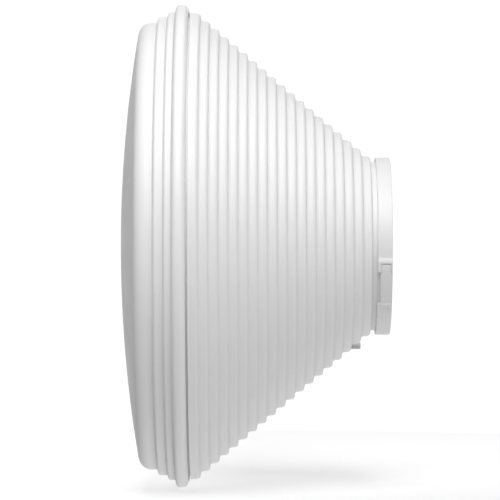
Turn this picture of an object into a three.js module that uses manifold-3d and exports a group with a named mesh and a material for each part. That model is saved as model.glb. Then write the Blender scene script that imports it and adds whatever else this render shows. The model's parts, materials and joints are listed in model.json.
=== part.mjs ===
// Corrugated horn antenna for the 5 GHz band, with a domed radome over its mouth and a
// quick-lock port for a radio at its rear.
//
// Units are millimetres, +Z is up. The horn's axis is Y: the radome faces -Y, the port faces +Y.
// The origin is on the axis, at the rear face of the lock ring. Every axial place is a distance
// forward of the origin, so it lies at -Y. Angles go round the axis in degrees, from +X towards +Z.

import * as THREE from "three";
import { mergeVertices } from "three/addons/utils/BufferGeometryUtils.js";
import Module from "manifold-3d";

const wasm = await Module();
wasm.setup();

// ---- driving dimensions -------------------------------------------------------------------

const GAP = 0.3; // between pieces that would touch
const WALL = 1.6; // cast wall of the horn and its fins

// Stepped cone: ring 1 is the largest, at the mouth
const RING_COUNT = 19;
const RING_PITCH = 5.94;
const RING_STEP = 5.01;
const FIRST_RING_R = 147.5;
const CONE_REAR = 12.3;
const GROOVE_DEPTH = 9.6;

// Flange that the radome snaps over
const FLANGE_R = 149.6;
const FLANGE_REAR = 128.1;
const FLANGE_FRONT = 130.6;
const GASKET_IN_R = 147.1;
const GASKET_OUT_R = 148.5;
const GASKET_REAR = 129.5;
const GASKET_THICKNESS = 1.7;

// Neck and rear web of the horn
const NECK_R = 53.2;
const NECK_TUBE_R = 48.0;
const SHOULDER_REAR = 8.5;
const WEB_REAR = 7.0;
const WEB_FRONT = 11.4;
const CHOKE_COUNT = 4;
const CHOKE_FIRST_R = 47.0;
const CHOKE_PITCH = 5.8;
const THROAT_MOUTH = 21.5;

// Radome
const APEX = 169.4;
const DOME_R = 797;
const RADOME_WALL = 2.5;
const SHOULDER_ROUND = 8;
const SKIRT_RINGS = [
  { radius: 141.2, rear: 145.9 },
  { radius: 144.8, rear: 139.6 },
  { radius: 147.8, rear: 134.2 },
];
const BEAD_R = 152.5;
const BEAD_ROUND = 3.8;
const BEAD_CENTRE = 130.4;
const LIP_IN_R = 148.1;
const LIP_THICKNESS = 1.2;

// Waveguide insert
const BORE_R = 20;
const TUBE_R = 22.3;
const HUB_R = 30;
const HUB_FRONT = 8.7;
const SEAT_R = 51.2;
const SEAT_REAR = 4.4;
const SEAT_FRONT = WEB_REAR - GAP;
const INSERT_SEAL_THICKNESS = 0.6;
const PORT_SEAL_R = 26.8;
const PORT_SEAL_SECTION_R = 1.3;
const PORT_SEAL_FLOOR = 6.3;
const KEY_ANGLES = [60, 240];
const KEY_WIDTH = 8;

// Screws and pins
const SCREW_COUNT = 6;
const SCREW_CIRCLE_R = 43.3;
const SCREW_FIRST_ANGLE = 30;
const SCREW_R = 1.5;
const SCREW_HEAD_R = 3;
const SCREW_HEAD_REAR = 4.6;
const SCREW_TIP = 10.9;
const SOCKET_R = 1.15;
const SOCKET_DEPTH = 1.2;
const INDEX_PIN_ANGLES = [0, 180];
const INDEX_PIN_CIRCLE_R = 41;
const INDEX_PIN_R = 1.5;
const INDEX_PIN_REAR = 2.2;
const INDEX_PIN_FRONT = 6.0;

// Lock ring
const RING_OUT_R = 56.1;
const RING_FRONT = 9.1;
const RING_TURN = 45;
const BAYONET_R = 51.6;
const LIP_REAR = WEB_REAR;
const LIP_FRONT = SHOULDER_REAR - GAP;
const LUG_COUNT = 4;
const LUG_WIDTH = 38;
const LUG_IN_R = 48.8;
const LUG_FRONT = 1.8;

// Latch, let into the lock ring
const POCKET = { from: -41, to: -11, floor: 53.2, rear: 1.1, front: 6.9 };
const FINGER_GAP = { from: -40, to: -16.5, rear: 6.8 };
const HINGE_BOSS = { from: -16, to: -9.6, radius: 57.1 };
const PIN_ANGLE = -13.5;
const PIN_CIRCLE_R = 55.2;
const PIN_R = 0.8;
const KNUCKLE_R = 1.7;
const KNUCKLE_LENGTH = 1.4;
const LEVER = { from: -40, to: -16.5, inside: 53.5, outside: 56.9, rear: 1.4, front: 6.6 };
const LEVER_LIP = { from: -40, to: -38.4, radius: 57.9 };
const PAWL = { from: -37, to: -34, inside: 50.6, rear: 2.4, front: 4.1 };
const PAWL_PLAY = 1.6;
const SPRING_R = 1.6;

// Vent plug, at the bottom of one of the smallest rings
const VENT_RING = 18;
const VENT_FORWARD = 21.2;
const VENT_BOSS_R = 2.8;
const VENT_BOSS_FACE = 63.0;
const VENT_HEAD_R = 2.6;
const VENT_HEAD_FACE = 65.1;
const VENT_SHANK_R = 1.0;
const VENT_SEAL_THICKNESS = 0.4;

// Facets
const BODY_FACETS = 28;
const PORT_FACETS = 40;
const SMALL_FACETS = 12;

// ---- materials ----------------------------------------------------------------------------

const finish = (color, roughness, metalness) =>
  new THREE.MeshStandardMaterial({ color, roughness, metalness });

const radomePlastic = finish(0xf2f2f2, 0.45, 0);
const hornCoating = finish(0xeeeeee, 0.5, 0);
const ringPlastic = finish(0xe4e4e4, 0.5, 0);
const latchPlastic = finish(0xe0e0e0, 0.5, 0);
const insertAluminium = finish(0xc8cacc, 0.35, 1);
const sealSilicone = finish(0x3a3a3c, 0.8, 0);
const steel = finish(0xb0b2b4, 0.3, 1);
const ventPlastic = finish(0xd0d0d0, 0.6, 0);

// ---- helpers ------------------------------------------------------------------------------

const radians = THREE.MathUtils.degToRad;
const at = (radius, forward) => new THREE.Vector2(radius, -forward);

// Spins a profile about Y. A profile that doesn't start and end on the axis is closed.
function turned(profile, facets) {
  const points = [...profile];
  if (THREE.ShapeUtils.isClockWise(points)) points.reverse();
  const onAxis = points.some((point) => point.x === 0);
  if (!onAxis) points.push(points[0].clone());
  return new THREE.LatheGeometry(points, facets);
}

// Moves a piece made on the axis out to a place round it.
function placed(geometry, radius, angle) {
  const turn = radians(angle);
  return geometry.translate(radius * Math.cos(turn), 0, radius * Math.sin(turn));
}

// Stands a piece that was made round Y upright under the horn, so that its axial places are
// distances below the horn's axis.
function hung(geometry) {
  return geometry.rotateX(Math.PI / 2).translate(0, -VENT_FORWARD, 0);
}

// A plain round bar along Y.
function bar(radius, rear, front) {
  const section = [at(0, rear), at(radius, rear), at(radius, front), at(0, front)];
  return turned(section, SMALL_FACETS);
}

// A plain ring round Y, with a rectangular section.
function band(inside, outside, rear, front, facets = SMALL_FACETS) {
  const section = [at(inside, rear), at(outside, rear), at(outside, front), at(inside, front)];
  return turned(section, facets);
}

// A block bounded by two radii, two axial places and two angles.
function arcBlock(inside, outside, rear, front, from, to) {
  const shape = new THREE.Shape();
  shape.absarc(0, 0, outside, radians(from), radians(to), false);
  shape.absarc(0, 0, inside, radians(to), radians(from), true);
  const steps = Math.max(1, Math.round((to - from) / (360 / PORT_FACETS)));
  const block = new THREE.ExtrudeGeometry(shape, {
    depth: front - rear,
    curveSegments: steps,
    bevelEnabled: false,
  });
  return block.rotateX(Math.PI / 2).translate(0, -rear, 0);
}

// Points of an arc in the profile's plane, its angles measured from the radius towards the front.
function arcPoints(radius, forward, round, from, to, steps) {
  return Array.from({ length: steps + 1 }, (_, i) => {
    const turn = radians(from + ((to - from) * i) / steps);
    return at(radius + round * Math.cos(turn), forward + round * Math.sin(turn));
  });
}

function asSolid(geometry) {
  const bare = geometry.clone();
  bare.deleteAttribute("normal");
  bare.deleteAttribute("uv");
  const merged = mergeVertices(bare);
  const corners = merged.index.array;
  const kept = [];
  for (let i = 0; i < corners.length; i += 3) {
    const [a, b, c] = corners.slice(i, i + 3);
    if (a !== b && b !== c && c !== a) kept.push(a, b, c);
  }
  const vertProperties = merged.attributes.position.array;
  const triVerts = Uint32Array.from(kept);
  return new wasm.Manifold(new wasm.Mesh({ numProp: 3, vertProperties, triVerts }));
}

function asGeometry(solid) {
  const mesh = solid.getMesh();
  const geometry = new THREE.BufferGeometry();
  geometry.setAttribute("position", new THREE.BufferAttribute(mesh.vertProperties, 3));
  geometry.setIndex(new THREE.BufferAttribute(mesh.triVerts, 1));
  geometry.computeVertexNormals();
  return geometry;
}

// Joins some pieces to a base and cuts others from it.
function shaped(base, { joins = [], cuts = [] }) {
  let solid = asSolid(base);
  for (const piece of joins) solid = solid.add(asSolid(piece));
  for (const piece of cuts) solid = solid.subtract(asSolid(piece));
  return asGeometry(solid);
}

const antenna = new THREE.Group();

function addPart(name, geometry, material) {
  const mesh = new THREE.Mesh(geometry, material);
  mesh.name = name;
  antenna.add(mesh);
}

// ---- horn body ----------------------------------------------------------------------------

const isNeck = (ring) => ring > RING_COUNT;
const ringRadius = (ring) => (isNeck(ring) ? NECK_R : FIRST_RING_R - RING_STEP * (ring - 1));
const ringRear = (ring) => CONE_REAR + (RING_COUNT - ring) * RING_PITCH;
const ringFront = (ring) => (ring === 1 ? FLANGE_REAR : ringRear(ring - 1));

const SEAL_SEAT = HUB_FRONT + INSERT_SEAL_THICKNESS + 2 * GAP;
const TUBE_HOLE_R = TUBE_R + GAP;
const HUB_HOLE_R = HUB_R + GAP;

// Rear web, neck and the steps of the cone, from the throat out to the mouth.
function hornOutside() {
  const points = [
    at(TUBE_HOLE_R, SEAL_SEAT),
    at(HUB_HOLE_R, SEAL_SEAT),
    at(HUB_HOLE_R, WEB_REAR),
    at(NECK_TUBE_R, WEB_REAR),
    at(NECK_TUBE_R, SHOULDER_REAR),
    at(NECK_R, SHOULDER_REAR),
    at(NECK_R, CONE_REAR),
  ];
  for (let ring = RING_COUNT; ring >= 1; ring -= 1) {
    points.push(at(ringRadius(ring), ringRear(ring)), at(ringRadius(ring), ringFront(ring)));
  }
  return points;
}

// Flange at the mouth, with the gasket's groove in its front face.
function hornFlange() {
  const grooveFloor = GASKET_REAR - GAP;
  return [
    at(FLANGE_R, FLANGE_REAR),
    at(FLANGE_R, FLANGE_FRONT),
    at(GASKET_OUT_R + GAP, FLANGE_FRONT),
    at(GASKET_OUT_R + GAP, grooveFloor),
    at(GASKET_IN_R - GAP, grooveFloor),
    at(GASKET_IN_R - GAP, FLANGE_FRONT),
    at(FIRST_RING_R - WALL, FLANGE_FRONT),
  ];
}

// Corrugations. Inside each ring, the next smaller ring's wall carries on forward as a fin.
function hornInside() {
  const points = [];
  for (let ring = 1; ring <= RING_COUNT; ring += 1) {
    const floor = ringRear(ring) + WALL;
    const fin = ringRadius(ring + 1);
    points.push(at(ringRadius(ring) - WALL, floor), at(fin, floor));
    points.push(at(fin, floor + GROOVE_DEPTH), at(fin - WALL, floor + GROOVE_DEPTH));
  }
  points.push(at(NECK_R - WALL, WEB_FRONT));
  for (let choke = 0; choke < CHOKE_COUNT; choke += 1) {
    const fin = CHOKE_FIRST_R - CHOKE_PITCH * choke;
    points.push(at(fin, WEB_FRONT), at(fin, THROAT_MOUTH));
    points.push(at(fin - WALL, THROAT_MOUTH), at(fin - WALL, WEB_FRONT));
  }
  points.push(at(TUBE_HOLE_R, WEB_FRONT));
  return points;
}

const screwAngles = Array.from(
  { length: SCREW_COUNT },
  (_, i) => SCREW_FIRST_ANGLE + (i * 360) / SCREW_COUNT,
);

function hornBody() {
  const insideWall = ringRadius(VENT_RING) - 0.7 * WALL;
  const ventBoss = hung(bar(VENT_BOSS_R, insideWall, VENT_BOSS_FACE));
  const holeTop = ringRadius(VENT_RING + 1) + WALL;
  const ventHole = hung(bar(VENT_SHANK_R + GAP, holeTop, VENT_BOSS_FACE + 1));
  const screwHoles = screwAngles.map((angle) =>
    placed(bar(SCREW_R + GAP, WEB_REAR - 1, WEB_FRONT + 1), SCREW_CIRCLE_R, angle),
  );
  const profile = [...hornOutside(), ...hornFlange(), ...hornInside()];
  return shaped(turned(profile, BODY_FACETS), { joins: [ventBoss], cuts: [ventHole, ...screwHoles] });
}

addPart("horn_body", hornBody(), hornCoating);

// ---- radome -------------------------------------------------------------------------------

// A dome of the given radius that ends in a rounded shoulder, from the apex outwards.
function domePoints(domeR, round, domeSteps, roundSteps) {
  const sphereCentre = APEX - DOME_R;
  const roundR = SKIRT_RINGS[0].radius - SHOULDER_ROUND;
  const tilt = Math.asin(roundR / (DOME_R - SHOULDER_ROUND));
  const roundCentre = sphereCentre + (DOME_R - SHOULDER_ROUND) * Math.cos(tilt);
  const dome = Array.from({ length: domeSteps }, (_, i) => {
    const turn = (tilt * i) / domeSteps;
    return at(i === 0 ? 0 : domeR * Math.sin(turn), sphereCentre + domeR * Math.cos(turn));
  });
  const start = 90 - THREE.MathUtils.radToDeg(tilt);
  return [...dome, ...arcPoints(roundR, roundCentre, round, start, 0, roundSteps)];
}

function radome() {
  const outside = domePoints(DOME_R, SHOULDER_ROUND, 5, 4);
  SKIRT_RINGS.forEach(({ radius, rear }, i) => {
    outside.push(at(radius, rear));
    const next = SKIRT_RINGS[i + 1];
    if (next) outside.push(at(next.radius, rear));
  });
  const beadR = BEAD_R - BEAD_ROUND;
  outside.push(...arcPoints(beadR, BEAD_CENTRE, BEAD_ROUND, 90, -90, 6));

  const rimRear = BEAD_CENTRE - BEAD_ROUND;
  const rimInR = FLANGE_R + GAP;
  const gasketSeat = GASKET_REAR + GASKET_THICKNESS + GAP;
  const inside = domePoints(DOME_R - RADOME_WALL, SHOULDER_ROUND - RADOME_WALL, 4, 3);
  SKIRT_RINGS.forEach(({ radius, rear }, i) => {
    const next = SKIRT_RINGS[i + 1];
    const stepAt = next ? rear - RADOME_WALL : gasketSeat;
    inside.push(at(radius - RADOME_WALL, stepAt));
    if (next) inside.push(at(next.radius - RADOME_WALL, stepAt));
  });
  inside.push(at(rimInR, gasketSeat), at(rimInR, rimRear + LIP_THICKNESS));
  inside.push(at(LIP_IN_R, rimRear + LIP_THICKNESS), at(LIP_IN_R, rimRear));
  return turned([...outside, ...inside.reverse()], BODY_FACETS);
}

function radomeGasket() {
  return band(GASKET_IN_R, GASKET_OUT_R, GASKET_REAR, GASKET_REAR + GASKET_THICKNESS, BODY_FACETS);
}

addPart("radome", radome(), radomePlastic);
addPart("radome_gasket", radomeGasket(), sealSilicone);

// ---- waveguide insert, its seals, screws and index pins -----------------------------------

// Countersunk screw: flat head, cone down to the shank, plain tip. It grows by play on each side.
function screwShape(play, rear) {
  const coneEnd = SCREW_HEAD_REAR + SCREW_HEAD_R - SCREW_R;
  return turned(
    [
      at(0, rear),
      at(SCREW_HEAD_R + play, rear),
      at(SCREW_HEAD_R + play, SCREW_HEAD_REAR + 0.1),
      at(SCREW_R + play, coneEnd + 0.1),
      at(SCREW_R + play, SCREW_TIP),
      at(0, SCREW_TIP),
    ],
    SMALL_FACETS,
  );
}

function waveguideInsert() {
  const sealHalf = PORT_SEAL_SECTION_R + GAP;
  const profile = [
    at(BORE_R, SEAT_REAR),
    at(PORT_SEAL_R - sealHalf, SEAT_REAR),
    at(PORT_SEAL_R - sealHalf, PORT_SEAL_FLOOR),
    at(PORT_SEAL_R + sealHalf, PORT_SEAL_FLOOR),
    at(PORT_SEAL_R + sealHalf, SEAT_REAR),
    at(SEAT_R, SEAT_REAR),
    at(SEAT_R, SEAT_FRONT),
    at(HUB_R, SEAT_FRONT),
    at(HUB_R, HUB_FRONT),
    at(TUBE_R, HUB_FRONT),
    at(TUBE_R, THROAT_MOUTH),
    at(BORE_R, THROAT_MOUTH),
  ];
  const keys = KEY_ANGLES.map((angle) =>
    arcBlock(
      NECK_TUBE_R + GAP,
      SEAT_R - 0.2,
      SEAT_FRONT - 0.5,
      SHOULDER_REAR - GAP,
      angle - KEY_WIDTH / 2,
      angle + KEY_WIDTH / 2,
    ),
  );
  const countersinks = screwAngles.map((angle) =>
    placed(screwShape(GAP, SEAT_REAR - 1), SCREW_CIRCLE_R, angle),
  );
  const pinHoles = INDEX_PIN_ANGLES.map((angle) =>
    placed(bar(INDEX_PIN_R + GAP, SEAT_REAR - 1, INDEX_PIN_FRONT + GAP), INDEX_PIN_CIRCLE_R, angle),
  );
  return shaped(turned(profile, PORT_FACETS), { joins: keys, cuts: [...countersinks, ...pinHoles] });
}

function insertSeal() {
  const rear = HUB_FRONT + GAP;
  const margin = 1.5;
  return band(TUBE_R + margin, HUB_R - margin, rear, rear + INSERT_SEAL_THICKNESS, PORT_FACETS);
}

function portSeal() {
  const centre = PORT_SEAL_FLOOR - GAP - PORT_SEAL_SECTION_R;
  const section = arcPoints(PORT_SEAL_R, centre, PORT_SEAL_SECTION_R, 0, 360, 8);
  section.pop();
  return turned(section, BODY_FACETS);
}

function insertScrew(angle) {
  const socket = new THREE.CylinderGeometry(SOCKET_R, SOCKET_R, 2 * SOCKET_DEPTH, 6);
  socket.translate(0, -SCREW_HEAD_REAR, 0);
  const screw = shaped(screwShape(0, SCREW_HEAD_REAR), { cuts: [socket] });
  return placed(screw, SCREW_CIRCLE_R, angle);
}

addPart("waveguide_insert", waveguideInsert(), insertAluminium);
addPart("insert_seal", insertSeal(), sealSilicone);
addPart("port_seal", portSeal(), sealSilicone);
screwAngles.forEach((angle, i) => addPart(`insert_screw_${i + 1}`, insertScrew(angle), steel));
INDEX_PIN_ANGLES.forEach((angle, i) => {
  const pin = placed(bar(INDEX_PIN_R, INDEX_PIN_REAR, INDEX_PIN_FRONT), INDEX_PIN_CIRCLE_R, angle);
  addPart(`index_pin_${i + 1}`, pin, steel);
});

// ---- lock ring and its latch --------------------------------------------------------------

// The ring turns on the neck, trapped between the insert's seat and the neck's shoulder. Its
// four inward lugs hold the radio, and the insert's keys stop it at both ends of its turn.
function lockRing() {
  const profile = [
    at(RING_OUT_R, 0),
    at(RING_OUT_R, RING_FRONT),
    at(NECK_R + GAP + 0.1, RING_FRONT),
    at(NECK_R + GAP + 0.1, LIP_FRONT),
    at(NECK_TUBE_R + GAP + 0.1, LIP_FRONT),
    at(NECK_TUBE_R + GAP + 0.1, LIP_REAR),
    at(BAYONET_R, LIP_REAR),
    at(BAYONET_R, 0),
  ];
  const lugs = Array.from({ length: LUG_COUNT }, (_, i) => {
    const middle = (i * 360) / LUG_COUNT;
    return arcBlock(LUG_IN_R, BAYONET_R + 1, 0, LUG_FRONT, middle - LUG_WIDTH / 2, middle + LUG_WIDTH / 2);
  });
  const boss = arcBlock(RING_OUT_R - 2, HINGE_BOSS.radius, 0, RING_FRONT, HINGE_BOSS.from, HINGE_BOSS.to);
  const keyPlay = 0.6;
  const keySlots = KEY_ANGLES.map((angle) =>
    arcBlock(
      NECK_TUBE_R,
      SEAT_R + 0.1,
      LIP_REAR - 1,
      LIP_FRONT + 1,
      angle - KEY_WIDTH / 2 - keyPlay,
      angle + KEY_WIDTH / 2 + RING_TURN + keyPlay,
    ),
  );
  const outwards = RING_OUT_R + 4;
  const pocket = arcBlock(POCKET.floor, outwards, POCKET.rear, POCKET.front, POCKET.from, POCKET.to);
  const fingerGap = arcBlock(
    POCKET.floor,
    outwards,
    FINGER_GAP.rear,
    RING_FRONT + 1,
    FINGER_GAP.from,
    FINGER_GAP.to,
  );
  const window = arcBlock(
    BAYONET_R - 1,
    POCKET.floor + 1,
    PAWL.rear - GAP,
    PAWL.front + GAP,
    PAWL.from - PAWL_PLAY,
    PAWL.to + PAWL_PLAY,
  );
  const pinHole = placed(bar(PIN_R + GAP, -1, RING_FRONT + 1), PIN_CIRCLE_R, PIN_ANGLE);
  return shaped(turned(profile, PORT_FACETS), {
    joins: [...lugs, boss],
    cuts: [...keySlots, pocket, fingerGap, window, pinHole],
  });
}

// A curved plate that fills the pocket. Two knuckles hold it on the pin, a pawl under its free
// end goes through the ring into the bayonet groove, and a small lip there lifts it.
function latchLever() {
  const plate = arcBlock(LEVER.inside, LEVER.outside, LEVER.rear, LEVER.front, LEVER.from, LEVER.to);
  const lip = arcBlock(
    LEVER.outside - 1,
    LEVER_LIP.radius,
    LEVER.rear,
    LEVER.front,
    LEVER_LIP.from,
    LEVER_LIP.to,
  );
  const pawl = arcBlock(PAWL.inside, LEVER.inside + 1, PAWL.rear, PAWL.front, PAWL.from, PAWL.to);
  const knuckles = [LEVER.rear, LEVER.front - KNUCKLE_LENGTH].flatMap((rear) => {
    const front = rear + KNUCKLE_LENGTH;
    const barrel = placed(bar(KNUCKLE_R, rear, front), PIN_CIRCLE_R, PIN_ANGLE);
    const arm = arcBlock(LEVER.inside + 0.3, LEVER.outside - 0.3, rear, front, LEVER.to - 1, PIN_ANGLE);
    return [barrel, arm];
  });
  const bore = placed(bar(PIN_R + GAP, 0, RING_FRONT), PIN_CIRCLE_R, PIN_ANGLE);
  return shaped(plate, { joins: [lip, pawl, ...knuckles], cuts: [bore] });
}

function latchSpring() {
  const rear = LEVER.rear + KNUCKLE_LENGTH + GAP;
  const front = LEVER.front - KNUCKLE_LENGTH - GAP;
  return placed(band(PIN_R + GAP, SPRING_R, rear, front), PIN_CIRCLE_R, PIN_ANGLE);
}

addPart("lock_ring", lockRing(), ringPlastic);
addPart("latch_lever", latchLever(), latchPlastic);
addPart("latch_pin", placed(bar(PIN_R, 0.2, RING_FRONT - 0.2), PIN_CIRCLE_R, PIN_ANGLE), steel);
addPart("latch_spring", latchSpring(), steel);

// ---- vent plug ----------------------------------------------------------------------------

const VENT_SEAL_TOP = VENT_BOSS_FACE + GAP;
const VENT_HEAD_TOP = VENT_SEAL_TOP + VENT_SEAL_THICKNESS + GAP;

function ventPlug() {
  const tip = ringRadius(VENT_RING + 1) + WALL + 1;
  const plug = turned(
    [
      at(0, tip),
      at(VENT_SHANK_R, tip),
      at(VENT_SHANK_R, VENT_HEAD_TOP),
      at(VENT_HEAD_R, VENT_HEAD_TOP),
      at(VENT_HEAD_R, VENT_HEAD_FACE),
      at(0, VENT_HEAD_FACE),
    ],
    SMALL_FACETS,
  );
  return hung(plug);
}

function ventSeal() {
  const bottom = VENT_SEAL_TOP + VENT_SEAL_THICKNESS;
  return hung(band(VENT_SHANK_R + GAP, VENT_HEAD_R - GAP, VENT_SEAL_TOP, bottom));
}

addPart("vent_plug", ventPlug(), ventPlastic);
addPart("vent_seal", ventSeal(), sealSilicone);

export default antenna;
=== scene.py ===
"""Looks of a corrugated horn antenna with a domed radome and a quick-lock radio port.

Profiles are lists of points (radius, forward) in millimetres. Forward is the distance from the
lock ring's rear face towards the radome, so it lies along -Y. Angles are in degrees round the
horn's axis, from +X towards +Z. Everything else is in metres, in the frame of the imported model.
"""

import json
import math

import bmesh
import bpy
from mathutils import Matrix, Vector


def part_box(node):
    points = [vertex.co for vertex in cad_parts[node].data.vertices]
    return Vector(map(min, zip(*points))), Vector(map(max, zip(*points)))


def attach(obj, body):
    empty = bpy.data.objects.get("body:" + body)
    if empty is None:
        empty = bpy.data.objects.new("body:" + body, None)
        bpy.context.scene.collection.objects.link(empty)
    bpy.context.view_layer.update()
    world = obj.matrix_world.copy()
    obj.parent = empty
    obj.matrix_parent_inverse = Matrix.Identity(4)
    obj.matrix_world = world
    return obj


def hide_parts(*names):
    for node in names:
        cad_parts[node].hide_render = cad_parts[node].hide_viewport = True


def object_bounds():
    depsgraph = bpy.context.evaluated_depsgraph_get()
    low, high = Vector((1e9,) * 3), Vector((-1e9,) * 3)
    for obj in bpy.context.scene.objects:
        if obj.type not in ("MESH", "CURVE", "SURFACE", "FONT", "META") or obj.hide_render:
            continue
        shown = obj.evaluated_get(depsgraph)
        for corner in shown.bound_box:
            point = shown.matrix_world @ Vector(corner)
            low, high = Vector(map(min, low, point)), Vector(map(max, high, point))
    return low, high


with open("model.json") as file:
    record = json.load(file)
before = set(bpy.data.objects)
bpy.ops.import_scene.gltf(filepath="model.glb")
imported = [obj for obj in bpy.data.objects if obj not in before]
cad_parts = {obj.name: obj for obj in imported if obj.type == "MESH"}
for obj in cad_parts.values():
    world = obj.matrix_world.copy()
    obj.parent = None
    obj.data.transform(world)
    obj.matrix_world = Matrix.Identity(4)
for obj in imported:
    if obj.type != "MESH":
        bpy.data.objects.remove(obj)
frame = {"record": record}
cad_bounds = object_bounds()

MM = 0.001


# ---- sizes read from the frame ----


def outer_radius(node):
    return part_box(node)[1].x / MM


def rear_of(node):
    return -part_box(node)[1].y / MM


def front_of(node):
    return -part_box(node)[0].y / MM


BEAD_R = outer_radius("radome")
APEX = front_of("radome")
RIM_REAR = rear_of("radome")
FLANGE_R = outer_radius("horn_body")
FLANGE_FRONT = front_of("horn_body")
WEB_REAR = rear_of("horn_body")
SEAT_R = -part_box("waveguide_insert")[0].x / MM
SEAT_REAR = rear_of("waveguide_insert")
THROAT_MOUTH = front_of("waveguide_insert")
COLLAR_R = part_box("lock_ring")[1].z / MM
COLLAR_FRONT = front_of("lock_ring")
GASKET_REAR = rear_of("radome_gasket")
GASKET_FRONT = front_of("radome_gasket")
GASKET_R = outer_radius("radome_gasket")

# ---- sizes of the pieces, in millimetres and degrees ----

# Play between pieces.
GAP = 0.3
# How far a cutting tool goes past a piece, and how far a joined block reaches into one.
OVERLAP = 1
# Thickness of the horn's walls and fins.
WALL = 1.6

RING_COUNT = 19
RING_PITCH = 5.94
RING_STEP = 5.01
FIRST_RING_R = 147.5
RING_DRAFT = 0.6
RING_ROUND = 2.2
RING_FILLET = 1.6
CONE_REAR = 12.3
GROOVE_DEPTH = 9.6
GROOVE_FLOOR_ROUND = 0.4
FIN_ROUND = 0.3
FLANGE_REAR = 128.1
SEAM_REAR = 125.3
SEAM_FRONT = 127.3
SEAM_DEPTH = 2.6
SEAM_WALL = 1.0

NECK_R = 53.2
NECK_TUBE_R = 48.0
SHOULDER_REAR = 8.5
WEB_FRONT = 11.4
CHOKE_COUNT = 4
CHOKE_FIRST_R = 47.0
CHOKE_PITCH = 5.8
HUB_SEAL_SPACE = 1.2

DOME_R = 797
RADOME_WALL = 2.5
SHOULDER_ROUND = 8
SKIRT_RINGS = ((141.2, 145.9), (144.8, 139.6), (147.8, 134.6))
SKIRT_ROUND = 1.6
SKIRT_FILLET = 0.9
SKIRT_SLOPE = 0.1
BEAD_REAR = 128.2
BEAD_ROUND = 2.7
BEAD_ROOT_R = 148.7
LIP_IN_R = 148.1
LIP_THICKNESS = 1.2
GASKET_WIDTH = 1.4
GASKET_ROUND = 0.4

BORE_R = 20
TUBE_R = 22.3
HUB_R = 30
HUB_FRONT = 8.7
HUB_SEAL_MARGIN = 1.5
HUB_SEAL_ROUND = 0.2
BORE_RIM = 1.7
RECESS_DEPTH = 0.25
RECESS_BEVEL = 0.5
RECESS_BEVEL_DEPTH = 0.1
PORT_SEAL_R = 26.8
PORT_SEAL_SECTION_R = 1.3
PORT_SEAL_FLOOR = 6.3
KEY_ANGLES = (60, 240)
KEY_WIDTH = 8
KEY_PLAY = 0.6
KEY_INSET = 0.2

SCREW_COUNT = 6
SCREW_CIRCLE_R = 43.3
SCREW_FIRST_ANGLE = 30
SCREW_R = 1.5
SCREW_HEAD_R = 3
SCREW_HEAD_REAR = 4.6
SCREW_CONE_END = SCREW_HEAD_REAR + SCREW_HEAD_R - SCREW_R
CONE_SHIFT = 0.1
SCREW_TIP = 10.9
SCREW_PLAIN_END = 0.4
SCREW_PLAY = 0.15
THREAD_PITCH = 0.5
THREAD_DEPTH = 0.28
SOCKET_R = 1.15
SOCKET_DEPTH = 1.2
SOCKET_POINT = 0.35
SOCKET_TURN = 37
INDEX_PIN_ANGLES = (0, 180)
INDEX_PIN_CIRCLE_R = 41
INDEX_PIN_R = 1.5
INDEX_PIN_ROUND = 0.5
INDEX_PIN_PLAY = 0.03
INDEX_PIN_REAR = 2.2
INDEX_PIN_FRONT = 6.0

COLLAR_ROUND = 0.5
COLLAR_PLAY = 0.4
RING_TURN = 45
BAYONET_R = 51.6
BAYONET_CHAMFER = 0.3
COLLAR_LIP_R = NECK_TUBE_R + COLLAR_PLAY
KEY_SLOT_R = 51.3
LIP_REAR = 7.0
LIP_FRONT = 8.2
LUG_COUNT = 4
LUG_WIDTH = 38
LUG_IN_R = 48.8
LUG_FRONT = 1.8
LUG_CHAMFER = 0.25

POCKET_FROM = -40.5
POCKET_TO = -11
POCKET_FLOOR = 53.2
POCKET_REAR = 1.1
POCKET_FRONT = 6.9
FINGER_GAP_FROM = -40
FINGER_GAP_TO = -16.5
FINGER_FLOOR_R = 54.1
FINGER_FLOOR_ROUND = 0.1
SHELF_FROM = -11.7
SHELF_R = 56.0
BOSS_FROM = -16.5
BOSS_TO = -10.2
RAMP_TO = -6.8
BOSS_R = 57.1
PIN_ANGLE = -13.5
PIN_CIRCLE_R = 55.2
PIN_R = 0.8
PIN_INSET = 0.2
PIN_CHAMFER = 0.15
PIN_PLAY_IN_COLLAR = 0.04
PIN_PLAY_IN_LEVER = 0.06
KNUCKLE_R = 1.7
KNUCKLE_LENGTH = 1.4
KNUCKLE_CHAMFER = 0.12
WIRE_R = 0.2
COIL_PITCH = 2.1 * WIRE_R
LEVER_FROM = -40
LEVER_TO = -16.5
LEVER_IN_R = 53.5
LEVER_OUT_R = 57.1
LEVER_FLANGE_IN_R = 56.35
LEVER_FLANGE_REAR = 0.6
LEVER_FLANGE_FRONT = 7.4
LEVER_FLANGE_TO = -16.8
ROOF_IN_R = 56.75
ROOF_TO = -11.6
ROOF_SIDE_GAP = 0.15
LEVER_REAR = 1.4
LEVER_FRONT = 6.6
LEVER_ROUND = 0.3
LEVER_LIP_R = 57.9
LEVER_LIP_ANGLE = 2.4
LEVER_LIP_START = 0.25
LEVER_LIP_FULLNESS = 0.7
ARM_IN_R = LEVER_IN_R + 0.3
ARM_OUT_R = ROOF_IN_R + 0.1
ARM_INSET = 0.02
PAWL_FROM = -37
PAWL_TO = -34
PAWL_IN_R = 50.6
PAWL_REAR = 2.4
PAWL_FRONT = 4.1
PAWL_ROUND = 0.2
PAWL_DRAFT = 0.3
PAWL_DRAFT_ANGLE = 0.4
WINDOW_FROM = -38.6
WINDOW_TO = -32.4

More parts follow.
